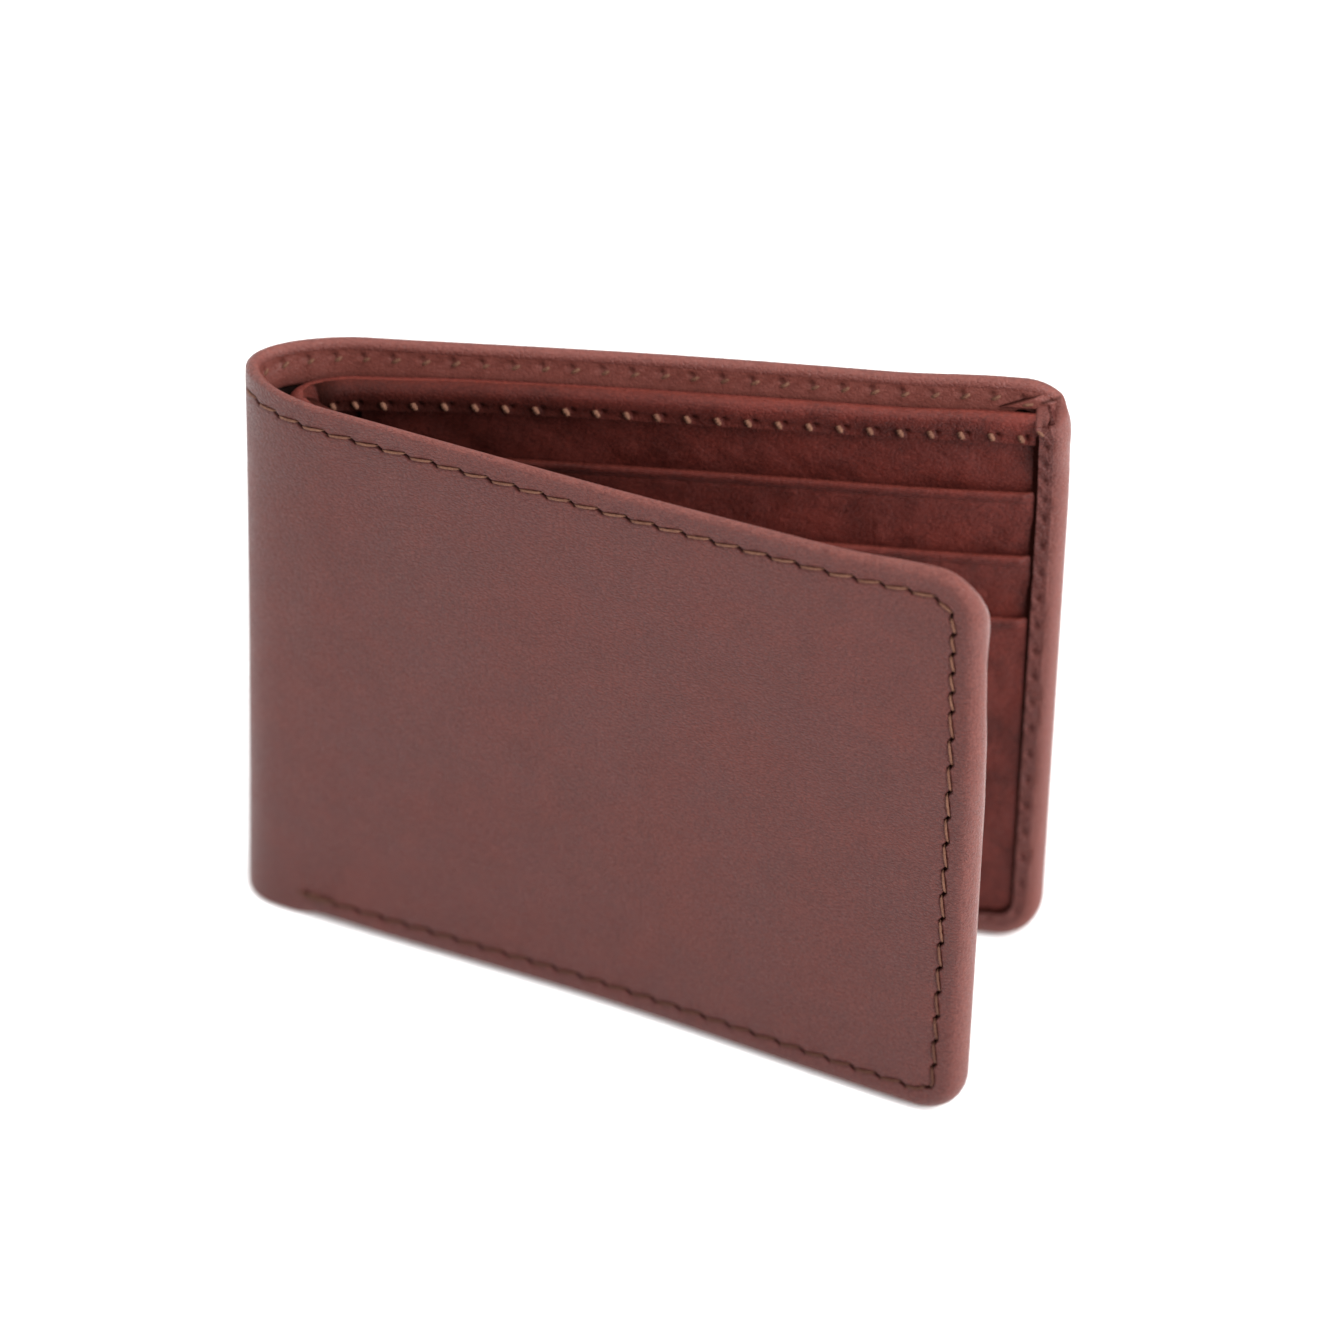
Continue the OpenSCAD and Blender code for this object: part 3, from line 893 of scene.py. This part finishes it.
def seam_threads(side):
    slant = 1 if side == FRONT else -1
    other = BACK if side == FRONT else FRONT

    def surface(q, c, depth):
        """A place beyond the middle plane belongs to the other half."""
        s, z = PATH.place(np.abs(q), seam_line(np.abs(q)) + c)
        here, there = (world(half, SHELL, s, depth(s, z), z) for half in (side, other))
        return np.where((q < 0)[:, None], there, here)

    def outside(q, c, lift):
        return surface(q, c, lambda s, z: -lift)

    def inside(q, c, lift):
        return surface(q, c - loop_rise(q), lambda s, z: rim_depth(side, s, z) + flap_thickness(s, z) + lift)

    first = HOLES if side == FRONT else np.concatenate([[-HOLES[0]], HOLES])
    corner = np.searchsorted(HOLES, PATH.marks[2] - 0.5)
    # the knotted end of the seam: short stitches over one another
    rng = np.random.default_rng(8)
    tack = []
    for _ in range(7):
        a = HOLES[-1] - rng.uniform(-1.2, 4.0)
        tack.append(((a - 1.7, rng.uniform(-0.5, 0.5)), (a + 1.7, rng.uniform(-0.5, 0.5))))
    thread_tubes("seam_thread", side, [
        (outside, long_stitches(first, slant), -0.09, 0.5, THREAD_R),
        (outside, tack, 0.05, 0.3, THREAD_R * 1.2),
        (inside, loops(HOLES[:corner], HEM_LOOP), -0.05, 0.45, LOOP_R),
        (inside, loops(HOLES[corner:], HEM_LOOP), -0.30, 0.5, THREAD_R)])


def divider_thread(side):
    def face(a, c, lift):
        z = DIVIDER_SEAM_Z + c
        return world(side, FOLD, a, stack_back(a, z) + roll_thickness(a, z) + lift, z)

    row = (face, loops(DIVIDER_HOLES, DIVIDER_LOOP), 0.02, 0.4, LOOP_R * 1.35)
    thread_tubes("divider_thread", side, [row])


def pocket_thread(side):
    rows = []
    for n, (top, below) in enumerate(zip(SLOTS, SLOTS[1:] + [TURN_WIDTH])):
        def face(a, c, lift, n=n):
            depth = panel_face(POCKET_SEAM, a) + (n + 1) * POCKET + CLEAR
            return world(side, FOLD, POCKET_SEAM + c, depth + lift, a)

        holes = np.arange(below + 1, top - 0.8, POCKET_PITCH)
        rows.append((face, long_stitches(holes, 1, 0.15), 0.03, 0.4, THREAD_R))
    thread_tubes("pocket_thread", side, rows)


# ---- materials


def srgb(r, g, b):
    """Linear colour from 0-255 screen values."""
    shares = (c / 255 for c in (r, g, b))
    return tuple(c / 12.92 if c <= 0.0404 else ((c + 0.055) / 1.055) ** 2.4 for c in shares) + (1,)


class Shader:
    """Small helper for building a node material."""

    def __init__(self, name):
        self.material = bpy.data.materials.new(name)
        self.material.use_nodes = True
        self.tree = self.material.node_tree
        self.tree.nodes.clear()
        output = self.node("ShaderNodeOutputMaterial")
        self.bsdf = self.node("ShaderNodeBsdfPrincipled")
        self.link(self.bsdf.outputs[0], output.inputs[0])

    def node(self, kind, **settings):
        n = self.tree.nodes.new(kind)
        for key, value in settings.items():
            setattr(n, key, value)
        return n

    def link(self, a, b):
        self.tree.links.new(a, b)

    def attribute(self, name, vector=False):
        n = self.node("ShaderNodeAttribute", attribute_name=name, attribute_type="GEOMETRY")
        return n.outputs["Vector"] if vector else n.outputs["Fac"]

    def scaled(self, vector, scale):
        n = self.node("ShaderNodeVectorMath", operation="MULTIPLY")
        self.link(vector, n.inputs[0])
        n.inputs[1].default_value = scale
        return n.outputs[0]

    def noise(self, vector, scale, detail, rough, distortion=0.0):
        n = self.node("ShaderNodeTexNoise")
        self.link(vector, n.inputs["Vector"])
        n.inputs["Scale"].default_value = scale
        n.inputs["Detail"].default_value = detail
        n.inputs["Roughness"].default_value = rough
        n.inputs["Distortion"].default_value = distortion
        return n.outputs["Fac"]

    def cells(self, vector, scale):
        """Distance to the nearest border between cells."""
        n = self.node("ShaderNodeTexVoronoi", feature="DISTANCE_TO_EDGE")
        self.link(vector, n.inputs["Vector"])
        n.inputs["Scale"].default_value = scale
        return n.outputs["Distance"]

    def feed(self, slot, value):
        """Gives a slot a fixed value, or links a node's output to it."""
        if isinstance(value, (int, float, tuple)):
            slot.default_value = value
        else:
            self.link(value, slot)

    def math(self, operation, a, b=0.5, clamp=False):
        n = self.node("ShaderNodeMath", operation=operation, use_clamp=clamp)
        self.feed(n.inputs[0], a)
        self.feed(n.inputs[1], b)
        return n.outputs[0]

    def ramp(self, value, low, high, to_low=0.0, to_high=1.0):
        n = self.node("ShaderNodeMapRange", interpolation_type="SMOOTHSTEP")
        self.link(value, n.inputs["Value"])
        for key, v in (("From Min", low), ("From Max", high), ("To Min", to_low), ("To Max", to_high)):
            n.inputs[key].default_value = v
        return n.outputs[0]

    def mix(self, factor, a, b):
        n = self.node("ShaderNodeMix", data_type="RGBA")
        for slot, value in ((n.inputs[0], factor), (n.inputs[6], a), (n.inputs[7], b)):
            self.feed(slot, value)
        return n.outputs[2]

    def bump(self, height, strength, distance):
        """Distance is in metres."""
        n = self.node("ShaderNodeBump")
        n.inputs["Strength"].default_value = strength
        n.inputs["Distance"].default_value = distance
        self.link(height, n.inputs["Height"])
        self.link(n.outputs[0], self.bsdf.inputs["Normal"])

    def finish(self, rough, spec):
        self.bsdf.inputs["Roughness"].default_value = rough
        self.bsdf.inputs["Specular IOR Level"].default_value = spec
        return self.material


# Colours of a cut edge and of painted shade, in needle holes, dimples, creases and towards the fold, and the
# size of the grain's cells
RAW_LEATHER, PAINTED_SHADE_COLOUR = srgb(30, 12, 9), srgb(16, 7, 5)
GRAIN_SIZE = 0.5


def leather(name, light, dark, mauve, worn, grain, wrinkle, rough, spec):
    """Aniline leather: fine wrinkled grain, mottled hue, polished high spots, darker pores, edges lightened
    partly by wear and partly as a painted highlight, a painted sheen on turned-over leather and painted shade
    where marked.
    """
    m = Shader(name)
    place = m.attribute("leather", vector=True)
    edge, raw_mark, painted_shade, turn = (m.attribute(n) for n in ("edge", "raw", "painted_shade", "turn"))
    cloud = m.noise(place, 0.05, 4, 0.6)
    patch = m.noise(place, 0.22, 4, 0.62)
    hue = m.noise(m.scaled(place, (0.9, 1, 1.3)), 0.14, 5, 0.6, 0.6)
    fine = m.noise(place, 1.7, 4, 0.65)
    long_way = m.scaled(place, (0.55, 1, 1.0))
    micro = m.noise(long_way, 3.6, 2, 0.6)
    cell = m.cells(long_way, 1 / GRAIN_SIZE)
    bead = m.cells(long_way, 2.3 / GRAIN_SIZE)
    crease = m.noise(m.scaled(place, (0.6, 1, 1.0)), 0.5, 5, 0.58, 0.7)

    tone = m.math("ADD", m.math("MULTIPLY", cloud, 0.5), m.math("MULTIPLY", patch, 0.5))
    colour = m.mix(m.ramp(tone, 0.36, 0.64), dark, light)
    colour = m.mix(m.ramp(hue, 0.40, 0.68, 0.0, 0.55), colour, mauve)
    colour = m.mix(m.ramp(fine, 0.4, 0.8, 0.0, 0.22), colour, worn)
    colour = m.mix(m.ramp(cell, 0.0, 0.15, 0.35 * grain, 0.0), colour, dark)
    colour = m.mix(m.ramp(micro, 0.38, 0.68, 0.0, 0.16 * grain), colour, worn)
    colour = m.mix(m.ramp(micro, 0.30, 0.50, 0.6 * grain, 0.0), colour, dark)
    # painted sheen: the turned-over leather, most along the top hem, is lightened towards the worn colour
    colour = m.mix(m.math("MULTIPLY", turn, 0.42), colour, worn)
    # rubbed edges: partly real wear, partly a painted highlight along the rolled edges
    wear_and_highlight = m.math("MULTIPLY", m.math("MULTIPLY", edge, edge), m.ramp(fine, 0.2, 0.8, 0.15, 0.65))
    colour = m.mix(wear_and_highlight, colour, worn)
    # painted shade: needle holes, dimples, creases and the inside towards the fold go towards near-black
    colour = m.mix(m.math("MULTIPLY", painted_shade, 0.93, clamp=True), colour, PAINTED_SHADE_COLOUR)
    colour = m.mix(m.math("MULTIPLY", raw_mark, 0.9, clamp=True), colour, RAW_LEATHER)
    m.link(colour, m.bsdf.inputs["Base Color"])

    shine = m.ramp(fine, 0.3, 0.75, rough - 0.05, rough + 0.10)
    shine = m.math("ADD", shine, m.ramp(cell, 0.0, 0.14, 0.12, 0.0))
    shine = m.math("ADD", shine, m.ramp(cloud, 0.35, 0.65, -0.04, 0.05))
    shine = m.math("SUBTRACT", shine, m.math("MULTIPLY", edge, 0.08))
    m.link(shine, m.bsdf.inputs["Roughness"])
    gloss = m.math("MULTIPLY", m.math("SUBTRACT", 1.0, m.math("MAXIMUM", painted_shade, raw_mark), clamp=True), spec)
    m.link(gloss, m.bsdf.inputs["Specular IOR Level"])

    pores = m.ramp(cell, 0.0, 0.2)
    beads = m.ramp(bead, 0.0, 0.28)
    height = m.math("MULTIPLY", pores, 0.55)
    for part, share in ((beads, 0.3), (fine, 0.7), (micro, 0.9), (crease, 3.0 * wrinkle)):
        height = m.math("ADD", height, m.math("MULTIPLY", part, share))
    height = m.math("MULTIPLY", height, m.ramp(turn, 0.0, 1.0, 1.0, 0.45))
    m.bump(height, 0.7 * grain, 0.00016)
    return m.material


def thread_material():
    m = Shader("waxed_thread")
    place = m.node("ShaderNodeTexCoord").outputs["Object"]
    in_mm = m.scaled(place, (1 / MM, 1 / MM, 1 / MM))
    fibre = m.noise(in_mm, 5.0, 3, 0.6)
    dirt = m.noise(in_mm, 0.25, 3, 0.6)
    parts = m.node("ShaderNodeSeparateXYZ")
    m.link(place, parts.inputs[0])
    colour = m.mix(m.ramp(fibre, 0.3, 0.7), srgb(82, 52, 41), srgb(124, 87, 69))
    colour = m.mix(m.ramp(dirt, 0.35, 0.7, 0.0, 0.5), colour, srgb(86, 52, 40))
    # painted shade: darker towards the standing edge
    colour = m.mix(m.ramp(parts.outputs[2], 0.0, 0.05, 0.75, 0.0), colour, srgb(64, 36, 27))
    m.link(colour, m.bsdf.inputs["Base Color"])
    m.bump(fibre, 0.5, 0.00006)
    return m.finish(rough=0.7, spec=0.15)


# Distance from one yarn of the lining to the next but one
WEAVE = 0.42


def fabric_material():
    m = Shader("woven_lining")
    place = m.attribute("leather", vector=True)
    parts = m.node("ShaderNodeSeparateXYZ")
    m.link(place, parts.inputs[0])
    warp = m.math("SINE", m.math("MULTIPLY", parts.outputs[0], 2 * math.pi / WEAVE))
    weft = m.math("SINE", m.math("MULTIPLY", parts.outputs[2], 2 * math.pi / WEAVE))
    weave = m.math("MULTIPLY", warp, weft)
    slub = m.noise(place, 1.2, 3, 0.6)
    colour = m.mix(m.ramp(weave, -0.8, 0.8), srgb(28, 14, 11), srgb(46, 25, 20))
    colour = m.mix(m.ramp(slub, 0.3, 0.8, 0.0, 0.4), colour, srgb(34, 18, 15))
    m.link(colour, m.bsdf.inputs["Base Color"])
    m.bsdf.inputs["Sheen Weight"].default_value = 0.05
    m.bump(weave, 0.5, 0.00005)
    return m.finish(rough=0.85, spec=0.1)


def board_material():
    m = Shader("fibre_board")
    place = m.attribute("leather", vector=True)
    fleck = m.noise(place, 2.5, 5, 0.7)
    colour = m.mix(m.ramp(fleck, 0.3, 0.7), srgb(150, 130, 106), srgb(186, 168, 142))
    m.link(colour, m.bsdf.inputs["Base Color"])
    m.bump(fleck, 0.4, 0.00005)
    return m.finish(rough=0.9, spec=0.5)


# ---- light, floor and camera

CAMERA_LENS = 184.6
CAMERA_YAW, CAMERA_PITCH, CAMERA_ROLL = (math.radians(a) for a in (4.94, 36.2, 1.13))
# Camera's place seen from the foot of the spine's centre: to the right, towards the viewer, up
CAMERA_OFFSET = (49.4, 772.35, 604.0)
# Sharp on the front half, towards its upper free corner; the back half is slightly soft
FOCUS = (25.0, -13.0, 60.0)
CAMERA_FSTOP = 11.0


def add_camera():
    turn = Matrix.Rotation(CAMERA_YAW, 4, "Z")
    sideways, back, up = CAMERA_OFFSET
    place = Vector((*CENTRE, 0)) + turn @ Vector((sideways, -back, up))
    data = bpy.data.cameras.new("camera")
    data.lens = CAMERA_LENS
    data.clip_start, data.clip_end = 0.01, 20
    camera = bpy.data.objects.new("camera", data)
    tilt = Matrix.Rotation(math.pi / 2 - CAMERA_PITCH, 4, "X") @ Matrix.Rotation(CAMERA_ROLL, 4, "Z")
    camera.matrix_world = Matrix.Translation(place * MM) @ turn @ tilt
    focus = bpy.data.objects.new("focus", None)
    focus.location = Vector(FOCUS) * MM
    scene.collection.objects.link(focus)
    data.dof.use_dof = True
    data.dof.focus_object = focus
    data.dof.aperture_fstop = CAMERA_FSTOP
    scene.collection.objects.link(camera)
    scene.camera = camera


# Each light's place, the height it is aimed at and its size in metres, and its power in watts
LIGHTS = {
    "top": ((-0.25, 0.15, 1.3), 0.03, (1.0, 0.9), 10.5),
    "right": ((0.97, -0.5, 0.65), 0.05, (0.6, 0.9), 24.0),
    "left": ((-1.05, 0.35, 0.5), 0.04, (0.8, 0.9), 7.0),
}
SKY_STRENGTH = 0.95
FLOOR_HALF = 6
# A little light of its own keeps the floor pale behind the wallet
FLOOR_GLOW = 0.13


def area_light(name, place, aim, size, power):
    data = bpy.data.lights.new(name, "AREA")
    data.shape = "RECTANGLE"
    data.size, data.size_y = size
    data.energy = power
    light = bpy.data.objects.new(name, data)
    light.location = place
    light.rotation_euler = (Vector((0, 0, aim)) - Vector(place)).to_track_quat("-Z", "Y").to_euler()
    scene.collection.objects.link(light)


def add_stage():
    mesh = bpy.data.meshes.new("floor")
    r = FLOOR_HALF
    mesh.from_pydata([(-r, -r, 0), (r, -r, 0), (r, r, 0), (-r, r, 0)], [], [(0, 1, 2, 3)])
    floor = bpy.data.objects.new("floor", mesh)
    m = Shader("pale_floor")
    m.bsdf.inputs["Base Color"].default_value = (0.93, 0.93, 0.93, 1)
    m.bsdf.inputs["Emission Color"].default_value = (1, 1, 1, 1)
    m.bsdf.inputs["Emission Strength"].default_value = FLOOR_GLOW
    mesh.materials.append(m.finish(rough=0.7, spec=0.1))
    scene.collection.objects.link(floor)
    studio = bpy.data.worlds.new("studio")
    studio.use_nodes = True
    sky = studio.node_tree.nodes["Background"]
    sky.inputs[0].default_value = (1, 1, 1, 1)
    sky.inputs[1].default_value = SKY_STRENGTH
    scene.world = studio
    for name, settings in LIGHTS.items():
        area_light(name, *settings)
    view = scene.view_settings
    view.view_transform = "Standard"
    view.look = "None"
    view.exposure = 0.0


# ---- the wallet

MATERIALS = {
    "cover_leather": leather("cover_leather", srgb(80, 31, 25), srgb(67, 24, 20), srgb(70, 30, 29),
                             srgb(126, 71, 62), grain=1.15, wrinkle=0.3, rough=0.44, spec=0.28),
    "inner_leather": leather("inner_leather", srgb(89, 33, 27), srgb(51, 13, 10), srgb(76, 29, 25),
                             srgb(122, 56, 46), grain=0.75, wrinkle=1.0, rough=0.45, spec=0.17),
    "thread": thread_material(),
    "lining_fabric": fabric_material(),
    "board": board_material(),
}
PIECES = (cover, corner_flap, lining, stiffener, divider, pocket_panel)
THREADS = (seam_threads, divider_thread, pocket_thread)

for side in (BACK, FRONT):
    for piece in PIECES:
        piece(side)
    for n, label in enumerate(POCKETS):
        card_pocket(side, n, label)
    for n, label in enumerate(POCKETS[:-1]):
        pocket_slip(side, n, label)
    for piece in THREADS:
        piece(side)
add_stage()
add_camera()
